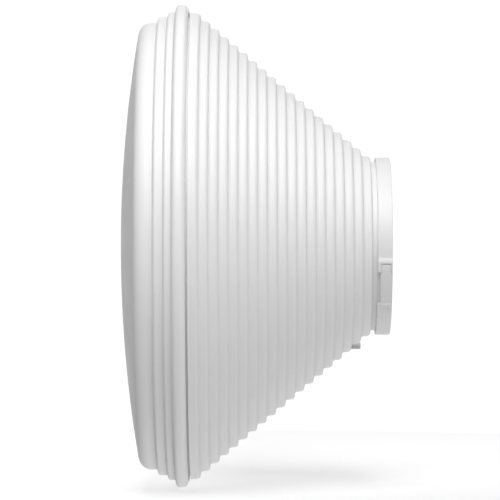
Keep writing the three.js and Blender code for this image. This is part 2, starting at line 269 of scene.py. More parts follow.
VENT_RING = 18
VENT_FORWARD = 21.2
VENT_BOSS_R = 3.1
VENT_BOSS_FACE = 63.0
VENT_HEAD_R = 3.1
VENT_SKIRT_IN_R = VENT_HEAD_R - 0.5
VENT_SKIRT_GAP = 0.12
VENT_HEAD_FACE = 65.1
VENT_HEAD_THICKNESS = 1.1
VENT_SHANK_R = 1.0
VENT_SHANK_SPACE = 2.6
VENT_SLOT_WIDTH = 0.8
VENT_SLOT_DEPTH = 0.5
VENT_SLOT_MARGIN = 0.8
VENT_SEAL_THICKNESS = 0.4
VENT_SEAL_ROUND = 0.15

# How many sides make up a full turn.
ROUND_SEGMENTS = 192
PORT_SEGMENTS = 144
VENT_SEGMENTS = 48
SMALL_SEGMENTS = 40
HOLE_SEGMENTS = 32
HEXAGON = 6
# Steps along parts of a turn.
COLLAR_STEP = 2
RAMP_STEPS = 10
LEVER_STEPS = 94
KEY_STEPS = 4
COIL_STEPS = 28
# Steps in small roundings.
ARC_STEP = 22
COLLAR_ROUND_STEPS = 4
LEVER_ROUND_STEPS = 3
INDEX_PIN_ROUND_STEPS = 5
PORT_SEAL_STEPS = 24

# Edges sharper than this are shaded sharp.
SHARP_ANGLE = 38
COLLAR_SHARP_ANGLE = 30


# ---- profiles ----

# A corner whose half angle is over this, in degrees, is flat enough to leave as it is.
FLAT_HALF_ANGLE = 89
# The most of a straight side that the rounding of one of its corners takes.
SIDE_SHARE = 0.48
# Sides shorter than this, in millimetres, have no direction of their own.
SHORTEST_SIDE = 1e-6
# The sine of the smallest bend that counts as an edge.
FLAT_BEND = 0.05


def corner_arc(before, corner, after, radius):
    """Points that round one corner of a profile, as far as its two sides leave room."""
    here = Vector(corner)
    back, on = Vector(before) - here, Vector(after) - here
    half_turn = back.angle(on) / 2
    if half_turn > math.radians(FLAT_HALF_ANGLE):
        return [tuple(here)]
    reach = radius / math.tan(half_turn)
    limit = SIDE_SHARE * min(back.length, on.length)
    if reach > limit:
        radius *= limit / reach
        reach = limit
    back.normalize()
    on.normalize()
    centre = here + (back + on).normalized() * (radius / math.sin(half_turn))
    start, end = here + back * reach - centre, here + on * reach - centre
    turn = math.pi - 2 * half_turn
    steps = max(2, round(math.degrees(turn) / ARC_STEP))
    sign = 1 if start.x * end.y - start.y * end.x > 0 else -1
    arc = []
    for i in range(steps + 1):
        spoke = start.copy()
        spoke.rotate(Matrix.Rotation(sign * turn * i / steps, 2))
        arc.append(tuple(centre + spoke))
    return arc


def rounded(corners):
    """A closed profile from corners (radius, forward, rounding), each corner rounded."""
    points = []
    count = len(corners)
    for i, (r, s, rounding) in enumerate(corners):
        if rounding:
            before, after = corners[i - 1][:2], corners[(i + 1) % count][:2]
            points += corner_arc(before, (r, s), after, rounding)
        else:
            points.append((r, s))
    return points


def supported(points, reach=0.35):
    """Adds points close to each end of a long straight side, so that shading stays flat there."""
    out = []
    count = len(points)
    for i, point in enumerate(points):
        out.append(point)
        here, there = Vector(point), Vector(points[(i + 1) % count])
        side = there - here
        if side.length > 4 * reach:
            out.append(tuple(here + side.normalized() * reach))
            out.append(tuple(there - side.normalized() * reach))
    return out


def edge_values(points):
    """1 at a point where the profile bends outwards, -1 where it bends inwards, 0 on the flat."""
    area = sum(a[0] * b[1] - b[0] * a[1] for a, b in zip(points, points[1:] + points[:1]))
    values = []
    for i, point in enumerate(points):
        back = Vector(point) - Vector(points[i - 1])
        on = Vector(points[(i + 1) % len(points)]) - Vector(point)
        if back.length < SHORTEST_SIDE or on.length < SHORTEST_SIDE:
            values.append(0.0)
            continue
        bend = (back.x * on.y - back.y * on.x) / (back.length * on.length)
        if abs(bend) < FLAT_BEND:
            values.append(0.0)
        else:
            values.append(1.0 if (bend > 0) == (area > 0) else -1.0)
    return values


def arc_points(radius, forward, rounding, start, end, steps):
    """Points of an arc, its angles measured from the radius towards the front."""
    points = []
    for i in range(steps + 1):
        turn = math.radians(start + (end - start) * i / steps)
        points.append((radius + rounding * math.cos(turn), forward + rounding * math.sin(turn)))
    return points


# ---- meshes ----


def on_circle(radius, angle, forward):
    """A point in metres, from its place round the axis and its forward distance."""
    turn = math.radians(angle)
    return Vector((radius * math.cos(turn), -forward, radius * math.sin(turn))) * MM


def in_scene(name, data):
    """A new object in the scene, from a mesh, curve, light or camera."""
    obj = bpy.data.objects.new(name, data)
    bpy.context.scene.collection.objects.link(obj)
    return obj


def evaluated_mesh(obj):
    """A mesh of an object as its modifiers, or its curve's bevel, leave it."""
    bpy.context.view_layer.update()
    depsgraph = bpy.context.evaluated_depsgraph_get()
    return bpy.data.meshes.new_from_object(obj.evaluated_get(depsgraph))


def finished(name, mesh, sharp=SHARP_ANGLE):
    """Makes an object of a bmesh: welded, facing out, smooth except at its sharp edges."""
    weld_within, no_length = 1e-7, 1e-8
    bmesh.ops.remove_doubles(mesh, verts=mesh.verts, dist=weld_within)
    bmesh.ops.dissolve_degenerate(mesh, edges=mesh.edges, dist=no_length)
    bmesh.ops.recalc_face_normals(mesh, faces=mesh.faces)
    data = bpy.data.meshes.new(name)
    mesh.to_mesh(data)
    mesh.free()
    smooth(data, sharp)
    return in_scene(name, data)


def smooth(data, sharp):
    data.shade_smooth()
    data.set_sharp_from_angle(angle=math.radians(sharp))


def skin(mesh, rings, closed_round, skipped=()):
    """Quads between neighbouring rings of vertices, apart from the skipped (ring, side) cells."""
    count = len(rings)
    sides = len(rings[0])
    for i in range(count if closed_round else count - 1):
        here, there = rings[i], rings[(i + 1) % count]
        for j in range(sides):
            if (i, j) in skipped:
                continue
            k = (j + 1) % sides
            mesh.faces.new((here[j], there[j], there[k], here[k]))


def spun(name, profile, segments):
    """A closed profile turned round the Y axis. Its edge values go along, for the materials."""
    mesh = bmesh.new()
    layer = mesh.verts.layers.float.new("edge")
    values = edge_values(profile)
    rings = []
    for i in range(segments):
        ring = []
        for (r, s), value in zip(profile, values):
            vert = mesh.verts.new(on_circle(r, 360 * i / segments, s))
            vert[layer] = value
            ring.append(vert)
        rings.append(ring)
    along_axis = {
        j
        for j in range(len(profile))
        if profile[j][0] == 0 and profile[(j + 1) % len(profile)][0] == 0
    }
    skipped = {(i, j) for i in range(segments) for j in along_axis}
    skin(mesh, rings, True, skipped)
    return finished(name, mesh)


def swept(name, stations):
    """A closed section carried round the axis through (angle, section) stations, with flat ends."""
    mesh = bmesh.new()
    mesh.verts.layers.float.new("edge")
    rings = []
    for angle, section in stations:
        rings.append([mesh.verts.new(on_circle(r, angle, s)) for r, s in section])
    skin(mesh, rings, False)
    for ring in (rings[0], rings[-1]):
        mesh.faces.new(ring)
    return finished(name, mesh)


def moved(obj, radius, angle):
    """Moves a piece made on the axis out to a place round it."""
    obj.data.transform(Matrix.Translation(on_circle(radius, angle, 0)))
    return obj


def at_hinge(obj):
    return moved(obj, PIN_CIRCLE_R, PIN_ANGLE)


def hung(obj):
    """Stands a piece made round Y upright under the horn.

    Its forward distance becomes its distance below the horn's axis.
    """
    turn = Matrix.Rotation(math.radians(90), 4, "X")
    obj.data.transform(Matrix.Translation((0, -VENT_FORWARD * MM, 0)) @ turn)
    return obj


def combined(base, tool, operation, sharp=SHARP_ANGLE):
    """Joins a tool to a base or cuts it from it, and removes the tool."""
    modifier = base.modifiers.new("combine", "BOOLEAN")
    modifier.object = tool
    modifier.operation = operation
    modifier.solver = "EXACT"
    data = evaluated_mesh(base)
    base.modifiers.clear()
    base.data = data
    bpy.data.objects.remove(tool)
    smooth(data, sharp)
    return base


def bar(name, radius, rear, front, chamfer=0.0, segments=SMALL_SEGMENTS):
    """A round bar along Y. Its ends may be chamfered."""
    side = [(radius, rear), (radius, front)]
    if chamfer:
        side = [
            (radius - chamfer, rear),
            (radius, rear + chamfer),
            (radius, front - chamfer),
            (radius - chamfer, front),
        ]
    return spun(name, [(0, rear), *side, (0, front)], segments)


def box_tool(name, corners, half_length):
    """A cutting box along Z between two (x, forward) corners."""
    (x0, s0), (x1, s1) = corners
    lengths = Vector((x1 - x0, s1 - s0, 2 * half_length)) * MM
    centre = Vector((x0 + x1, -s0 - s1, 0)) * MM / 2
    mesh = bmesh.new()
    bmesh.ops.create_cube(mesh, size=1)
    bmesh.ops.scale(mesh, vec=lengths, verts=mesh.verts)
    bmesh.ops.translate(mesh, vec=centre, verts=mesh.verts)
    return finished(name, mesh)


def band(name, inside, outside, rear, front, rounding, segments):
    """A ring with a rounded rectangular section."""
    corners = [
        (inside, rear, rounding),
        (outside, rear, rounding),
        (outside, front, rounding),
        (inside, front, rounding),
    ]
    return spun(name, rounded(corners), segments)


# ---- material helpers ----


def new_material(name, color, roughness, metallic=0.0):
    material = bpy.data.materials.new(name)
    material.use_nodes = True
    shader = material.node_tree.nodes["Principled BSDF"]
    shader.inputs["Base Color"].default_value = (*color, 1)
    shader.inputs["Roughness"].default_value = roughness
    shader.inputs["Metallic"].default_value = metallic
    return material, shader


def add_node(material, kind, **settings):
    node = material.node_tree.nodes.new(kind)
    for key, value in settings.items():
        setattr(node, key, value)
    return node


def link(material, output, target):
    material.node_tree.links.new(output, target)


def place(material):
    """Where a point is, in the piece's own metres."""
    return add_node(material, "ShaderNodeTexCoord").outputs["Object"]


def noise(material, scale, detail=2.0, vector=None):
    """Noise over the object, its scale in features per metre."""
    node = add_node(material, "ShaderNodeTexNoise")
    node.inputs["Scale"].default_value = scale
    node.inputs["Detail"].default_value = detail
    link(material, vector or place(material), node.inputs["Vector"])
    return node.outputs["Fac"]


def spread(material, value, low, high, from_low=0.3, from_high=0.7):
    """Maps a texture value to the range low..high."""
    node = add_node(material, "ShaderNodeMapRange")
    node.inputs["From Min"].default_value = from_low
    node.inputs["From Max"].default_value = from_high
    node.inputs["To Min"].default_value = low
    node.inputs["To Max"].default_value = high
    link(material, value, node.inputs["Value"])
    return node.outputs["Result"]


def math_node(material, operation, first, second):
    node = add_node(material, "ShaderNodeMath", operation=operation)
    for socket, value in zip(node.inputs, (first, second)):
        if isinstance(value, (int, float)):
            socket.default_value = value
        else:
            link(material, value, socket)
    return node.outputs["Value"]


def bump(material, height, distance, under=None):
    """A bump whose full height is distance, in metres, on top of an earlier one."""
    node = add_node(material, "ShaderNodeBump")
    node.inputs["Distance"].default_value = distance
    node.inputs["Strength"].default_value = 1.0
    link(material, height, node.inputs["Height"])
    if under:
        link(material, under, node.inputs["Normal"])
    return node.outputs["Normal"]


def uneven_gloss(material, shader, scale, detail, low, high):
    """Lets the roughness vary over the surface, from low to high."""
    gloss = spread(material, noise(material, scale, detail), low, high)
    link(material, gloss, shader.inputs["Roughness"])


def grained(material, shader, scale, detail, height, under=None):
    """Fine grain over the surface, its height in metres, on top of an earlier bump."""
    grain = bump(material, noise(material, scale, detail), height, under)
    link(material, grain, shader.inputs["Normal"])


def shaded_color(material, shader, color, amount):
    """The base colour times an amount that varies over the surface."""
    node = add_node(material, "ShaderNodeMix", data_type="RGBA", blend_type="MULTIPLY")
    node.inputs["Factor"].default_value = 1
    node.inputs["A"].default_value = (*color, 1)
    link(material, amount, node.inputs["B"])
    link(material, node.outputs["Result"], shader.inputs["Base Color"])


def edge_attribute(material):
    """1 at an outward edge, -1 in a corner and 0 elsewhere. Only turned pieces have edge values."""
    return add_node(material, "ShaderNodeAttribute", attribute_name="edge").outputs["Fac"]


# ---- materials ----

PLASTIC_IOR = 1.49
SILICONE_IOR = 1.41
# Painted shade and painted highlight: how much darker the colour is in a corner, and how much
# lighter on an outward edge.
PAINTED_CORNER_SHADE_AND_EDGE_HIGHLIGHT = 0.03


def slot_color(slot):
    for entry in frame["record"]["materials"]:
        if entry["slot"] == slot:
            return tuple(entry["base_color"][:3])
    raise KeyError(slot)


def white_finish(slot, roughness, grain_scale, grain_height, wave_height):
    """Satin white: faint cloudiness, painted shade in the corners, a painted highlight on the
    outward edges, moulded grain and slight waviness.
    """
    color = slot_color(slot)
    material, shader = new_material(slot, color, roughness)
    shader.inputs["IOR"].default_value = PLASTIC_IOR
    cloud = spread(material, noise(material, 16, detail=4), low=0.965, high=1.0)
    # Painted shade in inward corners and a painted highlight on outward edges, taken from the edge
    # values of turned pieces.
    corner = math_node(material, "MULTIPLY", edge_attribute(material), PAINTED_CORNER_SHADE_AND_EDGE_HIGHLIGHT)
    shade = math_node(material, "MINIMUM", math_node(material, "ADD", cloud, corner), 1.0)
    shaded_color(material, shader, color, shade)
    uneven_gloss(material, shader, 45, 5, low=roughness - 0.05, high=roughness + 0.06)
    wave = bump(material, noise(material, 28, detail=1), wave_height)
    grained(material, shader, grain_scale, 3, grain_height, wave)
    return material


def turned_aluminium():
    """Machined face: fine rings round the axis, slightly uneven in gloss."""
    color = slot_color("insert_aluminium")
    material, shader = new_material("insert_aluminium", color, roughness=0.3, metallic=1.0)
    separate = add_node(material, "ShaderNodeSeparateXYZ")
    link(material, place(material), separate.inputs["Vector"])
    x, z = separate.outputs["X"], separate.outputs["Z"]
    x_squared = math_node(material, "MULTIPLY", x, x)
    z_squared = math_node(material, "MULTIPLY", z, z)
    squares = math_node(material, "ADD", x_squared, z_squared)
    radius = math_node(material, "SQRT", squares, 0)
    combine = add_node(material, "ShaderNodeCombineXYZ")
    link(material, radius, combine.inputs["X"])
    link(material, separate.outputs["Y"], combine.inputs["Y"])
    lines = noise(material, 2600, detail=1, vector=combine.outputs["Vector"])
    coarse = noise(material, 900, detail=3, vector=combine.outputs["Vector"])
    shaded_color(material, shader, color, spread(material, coarse, low=0.88, high=1.0))
    uneven_gloss(material, shader, 130, 4, low=0.24, high=0.4)
    link(material, bump(material, lines, 0.000012), shader.inputs["Normal"])
    return material


def silicone():
    """Dark rubber with patches of pale dust."""
    color = slot_color("seal_silicone")
    material, shader = new_material("seal_silicone", color, roughness=0.62)
    shader.inputs["IOR"].default_value = SILICONE_IOR
    patches = noise(material, 260, detail=5)
    dust = spread(material, patches, low=0.9, high=1.9, from_low=0.35, from_high=0.8)
    shaded_color(material, shader, color, dust)
    uneven_gloss(material, shader, 500, 4, low=0.5, high=0.75)
    grained(material, shader, 1800, 3, height=0.00002)
    return material


def stainless():
    """Bright steel, slightly uneven in tone and gloss."""
    color = slot_color("steel")
    material, shader = new_material("steel", color, roughness=0.28, metallic=1.0)
    tone = spread(material, noise(material, 700, detail=4), low=0.82, high=1.0)
    shaded_color(material, shader, color, tone)
    uneven_gloss(material, shader, 2400, 4, low=0.2, high=0.4)
    grained(material, shader, 5000, 2, height=0.000006)
    return material


WHITE_FINISHES = {
    # slot: roughness, grain per metre, and the heights of the grain and the waviness in metres
    "radome_plastic": (0.42, 2400, 0.000012, 0.00012),
    "horn_coating": (0.46, 700, 0.00003, 0.00008),
    "ring_plastic": (0.44, 2000, 0.000014, 0.00005),
    "latch_plastic": (0.42, 2000, 0.000014, 0.00003),
    "vent_plastic": (0.55, 2000, 0.00002, 0.00002),
}
MATERIALS = {slot: white_finish(slot, *finish) for slot, finish in WHITE_FINISHES.items()}
MATERIALS["insert_aluminium"] = turned_aluminium()
MATERIALS["seal_silicone"] = silicone()
MATERIALS["steel"] = stainless()


def install(piece, slot, body, *nodes):
    """Gives a piece its material and body, and lets it stand for CAD nodes."""
    piece.data.materials.clear()
    piece.data.materials.append(MATERIALS[slot])
    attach(piece, body)
    if nodes:
        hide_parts(*nodes)


# ---- horn casting ----


def ring_radius(ring):
    return NECK_R if ring > RING_COUNT else FIRST_RING_R - RING_STEP * (ring - 1)


def ring_rear(ring):
    return CONE_REAR + (RING_COUNT - ring) * RING_PITCH


def horn_outside():
    """Rear web, neck and the drafted steps of the cone."""
    seal_seat = HUB_FRONT + HUB_SEAL_SPACE
    corners = [
        (TUBE_R + GAP, seal_seat, 0),
        (HUB_R + GAP, seal_seat, 0),
        (HUB_R + GAP, WEB_REAR, 0),
        (NECK_TUBE_R, WEB_REAR, 0),
        (NECK_TUBE_R, SHOULDER_REAR, 0),
        (NECK_R, SHOULDER_REAR, 0.3),
        (NECK_R, CONE_REAR, 0.5),
    ]
    for ring in range(RING_COUNT, 0, -1):
        front = ring_rear(ring - 1)
        corners.append((ring_radius(ring) - RING_DRAFT, ring_rear(ring), RING_ROUND))
        if ring > 1:
            corners.append((ring_radius(ring), front, RING_FILLET))
    return corners


def horn_seam():
    """Groove in the largest ring, right behind the radome's rim."""
    floor = FIRST_RING_R - SEAM_DEPTH
    return [
        (FIRST_RING_R, SEAM_REAR, 0.15),
        (floor, SEAM_REAR, 0.1),
        (floor, SEAM_FRONT, 0.1),
        (FIRST_RING_R, SEAM_FRONT, 0),
        (FIRST_RING_R, FLANGE_REAR, 0.2),
    ]


def horn_flange():
    """Front flange with the gasket's groove in it, and the inner wall that the seam needs."""
    groove_floor = GASKET_REAR - GAP
    groove_in_r = GASKET_R - GASKET_WIDTH - GAP
    return [
        (FLANGE_R, FLANGE_REAR, 0.2),
        (FLANGE_R, FLANGE_FRONT, 0.4),
        (GASKET_R + GAP, FLANGE_FRONT, 0.1),
        (GASKET_R + GAP, groove_floor, 0),
        (groove_in_r, groove_floor, 0),
        (groove_in_r, FLANGE_FRONT, 0.1),
        (FIRST_RING_R - WALL, FLANGE_FRONT, 0.3),
        (FIRST_RING_R - WALL, SEAM_FRONT + WALL, 0),
        (FIRST_RING_R - SEAM_DEPTH - SEAM_WALL, SEAM_FRONT + WALL, 0.3),
    ]


def horn_inside():
    """Axial corrugations: each smaller ring's wall carries on forward as a fin."""
    corners = []
    for ring in range(1, RING_COUNT + 1):
        floor = ring_rear(ring) + WALL
        fin = ring_radius(ring + 1)
        wall_in_r = ring_radius(ring) - (WALL if ring > 1 else SEAM_DEPTH + SEAM_WALL)
        corners.append((wall_in_r, floor, GROOVE_FLOOR_ROUND))
        corners.append((fin, floor, GROOVE_FLOOR_ROUND))
        corners.append((fin, floor + GROOVE_DEPTH, FIN_ROUND))
        corners.append((fin - WALL, floor + GROOVE_DEPTH, FIN_ROUND))
    corners.append((NECK_R - WALL, WEB_FRONT, GROOVE_FLOOR_ROUND))
    for choke in range(CHOKE_COUNT):
        fin = CHOKE_FIRST_R - CHOKE_PITCH * choke
        corners.append((fin, WEB_FRONT, GROOVE_FLOOR_ROUND))
        corners.append((fin, THROAT_MOUTH, FIN_ROUND))
        corners.append((fin - WALL, THROAT_MOUTH, FIN_ROUND))
        corners.append((fin - WALL, WEB_FRONT, GROOVE_FLOOR_ROUND))
    corners.append((TUBE_R + GAP, WEB_FRONT, 0))
    return corners


def horn_casting():
    corners = horn_outside() + horn_seam() + horn_flange() + horn_inside()
    return spun("horn_casting", supported(rounded(corners)), ROUND_SEGMENTS)


def vent_boss():
    """Round pad under the horn, which reaches into the ring above it."""
    root = ring_radius(VENT_RING) - OVERLAP
    corners = [
        (VENT_SHANK_R + GAP, root, 0),
        (VENT_BOSS_R, root, 0),
        (VENT_BOSS_R, VENT_BOSS_FACE, 0.25),
        (VENT_SHANK_R + GAP, VENT_BOSS_FACE, 0.15),
    ]
    return hung(spun("vent_boss", rounded(corners), SMALL_SEGMENTS))


# ---- radome ----


def dome_points(dome_r, rounding, dome_steps, round_steps):
    """From the apex out to the rounded shoulder."""
    sphere_centre = APEX - DOME_R
    round_r = SKIRT_RINGS[0][0] - SHOULDER_ROUND
    tilt = math.asin(round_r / (DOME_R - SHOULDER_ROUND))
    round_centre = sphere_centre + (DOME_R - SHOULDER_ROUND) * math.cos(tilt)
    points = []
    for i in range(dome_steps):
        turn = tilt * i / dome_steps
        points.append((dome_r * math.sin(turn), sphere_centre + dome_r * math.cos(turn)))
    start = 90 - math.degrees(tilt)
    return points + arc_points(round_r, round_centre, rounding, start, 0, round_steps)


def skirt_corners():
    """Steps of the skirt, and the bead with its flat rim and sloping root."""
    corners = []
    radii = [radius for radius, _ in SKIRT_RINGS] + [BEAD_R]
    for radius, following, (_, rear) in zip(radii, radii[1:], SKIRT_RINGS):
        lean = SKIRT_SLOPE * (following - radius)
        corners.append((radius, rear + lean, SKIRT_FILLET))
        corners.append((following, rear - lean, SKIRT_ROUND))
    corners[-1] = (*corners[-1][:2], BEAD_ROUND)
    return corners + [(BEAD_R, BEAD_REAR, BEAD_ROUND), (BEAD_ROOT_R, RIM_REAR, 0.25)]


def radome_cover():
    outside = dome_points(DOME_R, SHOULDER_ROUND, dome_steps=36, round_steps=12)
    skirt = rounded([(*outside[-1], 0), *skirt_corners(), (LIP_IN_R, RIM_REAR, 0)])[1:]
    seat = GASKET_FRONT + GAP
    dome_r, shoulder = DOME_R - RADOME_WALL, SHOULDER_ROUND - RADOME_WALL
    inside = dome_points(dome_r, shoulder, dome_steps=18, round_steps=6)
    inner_rings = [(radius - RADOME_WALL, rear - RADOME_WALL) for radius, rear in SKIRT_RINGS]
    (first_r, first_rear), (second_r, second_rear), (third_r, _) = inner_rings
    inside += [
        (first_r, first_rear),
        (second_r, first_rear),
        (second_r, second_rear),
        (third_r, second_rear),
        (third_r, seat),
        (FLANGE_R + GAP, seat),
        (FLANGE_R + GAP, RIM_REAR + LIP_THICKNESS),
        (LIP_IN_R, RIM_REAR + LIP_THICKNESS),
    ]
    return spun("radome_cover", outside + skirt + inside[::-1], ROUND_SEGMENTS)


# ---- lock collar ----


def collar_outside(angle):
    """Outer radius of the collar: a ramp leads up to the boss over the hinge."""
    if not BOSS_FROM <= angle <= RAMP_TO:
        return COLLAR_R
    climb = min(1, (RAMP_TO - angle) / (RAMP_TO - BOSS_TO))
    return COLLAR_R + (BOSS_R - COLLAR_R) * climb * climb * (3 - 2 * climb)


def key_slot(key):
    """Where the slot for one of the insert's keys starts and ends, to leave room for the turn."""
    half_width = KEY_WIDTH / 2 + KEY_PLAY
    return key - half_width, key + half_width + RING_TURN


def collar_section(angle, out_r):
    """The collar's section at one angle. Every section has the same number of points."""
    in_pocket = POCKET_FROM < angle < POCKET_TO
    cut_back = FINGER_GAP_FROM < angle < FINGER_GAP_TO
    lug_middle = round(angle / (360 / LUG_COUNT)) * (360 / LUG_COUNT)
    on_lug = abs(angle - lug_middle) < LUG_WIDTH / 2
    in_key_slot = any(start < angle % 360 < end for start, end in map(key_slot, KEY_ANGLES))
    floor = POCKET_FLOOR if in_pocket else out_r
    if SHELF_FROM < angle < POCKET_TO:
        floor = SHELF_R
    lip_r = KEY_SLOT_R if in_key_slot else COLLAR_LIP_R
    lug_r = LUG_IN_R if on_lug else BAYONET_R

    rounding, steps = COLLAR_ROUND, COLLAR_ROUND_STEPS
    rear_round = arc_points(out_r - rounding, rounding, rounding, -90, 0, steps)
    pocket = [
        (out_r, POCKET_REAR),
        (floor, POCKET_REAR),
        (floor, PAWL_REAR - GAP),
        (floor, PAWL_FRONT + GAP),
        (floor, POCKET_FRONT),
    ]
    front_r = out_r
    if cut_back:
        front_r, rounding = FINGER_FLOOR_R, FINGER_FLOOR_ROUND
    skirt_in_r = NECK_R + COLLAR_PLAY
    front = [
        (front_r, POCKET_FRONT),
        *arc_points(front_r - rounding, COLLAR_FRONT - rounding, rounding, 0, 90, steps),
        (skirt_in_r, COLLAR_FRONT),
        (skirt_in_r, LIP_FRONT),
    ]
    inside = [
        (NECK_R, LIP_FRONT),
        (KEY_SLOT_R, LIP_FRONT),
        (lip_r, LIP_FRONT),
        (lip_r, LIP_REAR),
        (KEY_SLOT_R, LIP_REAR),
        (BAYONET_R, LIP_REAR),
        (BAYONET_R, PAWL_FRONT + GAP),
        (BAYONET_R, PAWL_REAR - GAP),
        (BAYONET_R, LUG_FRONT),
        (lug_r, LUG_FRONT),
        (lug_r, LUG_CHAMFER),
        (lug_r + LUG_CHAMFER, 0),
        (BAYONET_R + BAYONET_CHAMFER, 0),
    ]
    return rear_round + pocket + front + inside


def collar_edges():
    """Angles at which the collar's section changes, in rising order, within one turn."""
    half_lug = LUG_WIDTH / 2
    lugs = [i * 360 / LUG_COUNT + side for i in range(LUG_COUNT) for side in (-half_lug, half_lug)]
    slots = [side for key in KEY_ANGLES for side in key_slot(key)]
    pocket = [POCKET_FROM, POCKET_TO, SHELF_FROM, FINGER_GAP_FROM, FINGER_GAP_TO]
    others = [BOSS_FROM, BOSS_TO, RAMP_TO, WINDOW_FROM, WINDOW_TO]
    return sorted({round(angle % 360, 3) for angle in lugs + slots + pocket + others})


def signed(angle):
    """An angle within one turn, counted from -180 to 180."""
    return angle - 360 if angle > 180 else angle


def lock_collar():
    """The collar as one skin: sections between its edges, and a window for the latch's pawl."""
    edges = collar_edges()
    mesh = bmesh.new()
    mesh.verts.layers.float.new("edge")
    rings = []
    in_window = []
    for start, end in zip(edges, edges[1:] + [edges[0] + 360]):
        middle = signed((start + end) / 2 % 360)
        on_ramp = BOSS_TO < middle < RAMP_TO
        steps = RAMP_STEPS if on_ramp else max(1, round((end - start) / COLLAR_STEP))
        for i in range(steps + 1):
            angle = start + (end - start) * i / steps
            out_r = collar_outside(signed(angle % 360) if on_ramp else middle)
            section = collar_section(middle, out_r)
            rings.append([mesh.verts.new(on_circle(r, angle, s)) for r, s in section])
            in_window.append(WINDOW_FROM < middle < WINDOW_TO and i < steps)
    # The sides of a section that lie between the pawl's rear and front, on the pocket's floor
    # and on the bore. Both are counted from the ends of the list that collar_section() returns.
    floor_side = 7
    inner_side = len(rings[0]) - 7
    window_rings = [i for i, inside in enumerate(in_window) if inside]
    skipped = {(i, j) for i in window_rings for j in (floor_side, inner_side)}
    skin(mesh, rings, True, skipped)
    first, last = window_rings[0], window_rings[-1] + 1
    for i in window_rings:
        for outer, inner in ((floor_side, inner_side + 1), (floor_side + 1, inner_side)):
            here, there = rings[i], rings[i + 1]
            mesh.faces.new((here[outer], there[outer], there[inner], here[inner]))
    for i in (first, last):
        ring = rings[i]
        corners = (ring[floor_side], ring[floor_side + 1], ring[inner_side], ring[inner_side + 1])
        mesh.faces.new(corners)
    collar = finished("lock_collar", mesh, COLLAR_SHARP_ANGLE)
    hole = bar("pin_hole", PIN_R + PIN_PLAY_IN_COLLAR, -OVERLAP, COLLAR_FRONT + OVERLAP)
    return combined(collar, at_hinge(hole), "DIFFERENCE", COLLAR_SHARP_ANGLE)


# ---- latch ----


def lever_section(in_r, out_r, flange_r, rear, front):
    """A block with a plate on it, which may stick out over the block's sides."""
    block_rear, block_front = max(rear, LEVER_REAR), min(front, LEVER_FRONT)
    rounding, steps = LEVER_ROUND, LEVER_ROUND_STEPS
    return [
        (in_r, block_rear),
        (flange_r, block_rear),
        (flange_r, rear),
        *arc_points(out_r - rounding, rear + rounding, rounding, -90, 0, steps),
        *arc_points(out_r - rounding, front - rounding, rounding, 0, 90, steps),
        (flange_r, front),
        (flange_r, block_front),
        (in_r, block_front),
    ]


def lever_outside(angle):
    """Outer radius of the lever: flush with the boss, and a lip at its end to lift it by."""
    to_end = angle - LEVER_FROM
    if to_end > LEVER_LIP_ANGLE:
        return LEVER_OUT_R
    across_lip = min(1, to_end / LEVER_LIP_ANGLE + LEVER_LIP_START)
    rise = math.sin(math.pi * across_lip) ** LEVER_LIP_FULLNESS
    return LEVER_OUT_R + (LEVER_LIP_R - LEVER_OUT_R) * rise


def latch_pawl():
    """Tooth that goes through the ring, its tip cut back a little at both ends."""
    stations = []
    for angle, draft in (
        (PAWL_TO, PAWL_DRAFT),
        (PAWL_TO - PAWL_DRAFT_ANGLE, 0),
        (PAWL_FROM + PAWL_DRAFT_ANGLE, 0),
        (PAWL_FROM, PAWL_DRAFT),
    ):
        corners = [
            (PAWL_IN_R + draft, PAWL_REAR, PAWL_ROUND),
            (LEVER_IN_R + OVERLAP, PAWL_REAR, 0),
            (LEVER_IN_R + OVERLAP, PAWL_FRONT, 0),
            (PAWL_IN_R + draft, PAWL_FRONT, PAWL_ROUND),
        ]
        stations.append((angle, rounded(corners)))
    return swept("pawl", stations)


def latch_arm(rear, front):
    """Short arm under the roof, from a degree inside the lever to one of its knuckles."""
    section = [
        (ARM_IN_R, rear + ARM_INSET),
        (ARM_OUT_R, rear + ARM_INSET),
        (ARM_OUT_R, front - ARM_INSET),
        (ARM_IN_R, front - ARM_INSET),
    ]
    angles = (LEVER_TO - 1, LEVER_TO, LEVER_TO + 1, PIN_ANGLE)
    return swept("arm", [(angle, section) for angle in angles])


def latch_plate():
    """Roof over the hinge, flanged lever, pawl and the two knuckles."""
    roof_rear, roof_front = POCKET_REAR + ROOF_SIDE_GAP, POCKET_FRONT - ROOF_SIDE_GAP
    stations = []
    for angle, drop in (
        (ROOF_TO, 0.25),
        (ROOF_TO - 0.15, 0.08),
        (ROOF_TO - 0.4, 0),
        (LEVER_TO, 0),
    ):
        roof = lever_section(ROOF_IN_R, LEVER_OUT_R - drop, ROOF_IN_R, roof_rear, roof_front)
        stations.append((angle, roof))
    block = lever_section(
        LEVER_IN_R, LEVER_OUT_R, LEVER_FLANGE_IN_R, LEVER_REAR, LEVER_FRONT
    )
    stations += [(LEVER_TO, block), (LEVER_FLANGE_TO, block)]
    for i in range(LEVER_STEPS + 1):
        angle = LEVER_FLANGE_TO + (LEVER_FROM - LEVER_FLANGE_TO) * i / LEVER_STEPS
        flanged = lever_section(
            LEVER_IN_R,
            lever_outside(angle),
            LEVER_FLANGE_IN_R,
            LEVER_FLANGE_REAR,
            LEVER_FLANGE_FRONT,
        )
        stations.append((angle, flanged))
    plate = swept("latch_plate", stations)
    combined(plate, latch_pawl(), "UNION")
    for rear in (LEVER_REAR, LEVER_FRONT - KNUCKLE_LENGTH):
        front = rear + KNUCKLE_LENGTH
        combined(plate, latch_arm(rear, front), "UNION")
        barrel = bar("barrel", KNUCKLE_R, rear, front, KNUCKLE_CHAMFER)
        combined(plate, at_hinge(barrel), "UNION")
    bore = bar("bore", PIN_R + PIN_PLAY_IN_LEVER, 0, COLLAR_FRONT)
    return combined(plate, at_hinge(bore), "DIFFERENCE")


